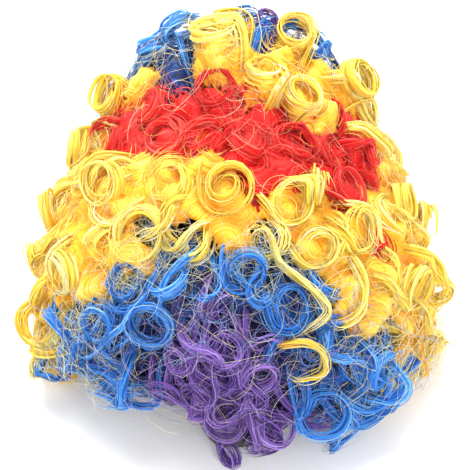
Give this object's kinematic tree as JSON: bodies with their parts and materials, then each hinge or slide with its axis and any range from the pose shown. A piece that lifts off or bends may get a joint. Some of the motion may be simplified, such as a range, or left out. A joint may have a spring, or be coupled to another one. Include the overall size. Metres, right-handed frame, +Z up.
{
  "type": "pet clown wig",
  "caption": "Curly rainbow wig for a small pet: bands of purple, blue, yellow and red hair sewn across a soft black cap with an elastic rim, open below for the head.",
  "frame": {"origin": "middle of the wig's box, on the surface that the rim stands on", "axes": "+Z up, -Y towards the front edge with the purple hair, +X to the right as seen from the front"},
  "size_m": [0.2366, 0.2638, 0.1559],
  "materials": {
    "cap_knit": "matt black stretch knit",
    "rim_elastic": "black ribbed elastic tape",
    "hair_purple": "satin purple synthetic hair",
    "hair_blue": "satin blue synthetic hair",
    "hair_yellow": "satin yellow synthetic hair",
    "hair_red": "satin red synthetic hair"
  },
  "bodies": {
    "root": {"cap": "cap_knit", "rim_band": "rim_elastic", "hair_purple_front": "hair_purple", "hair_blue_front": "hair_blue", "hair_yellow_front": "hair_yellow", "hair_red_crown": "hair_red", "hair_yellow_back": "hair_yellow", "hair_blue_back": "hair_blue", "hair_purple_back": "hair_purple"}
  },
  "joints": []
}
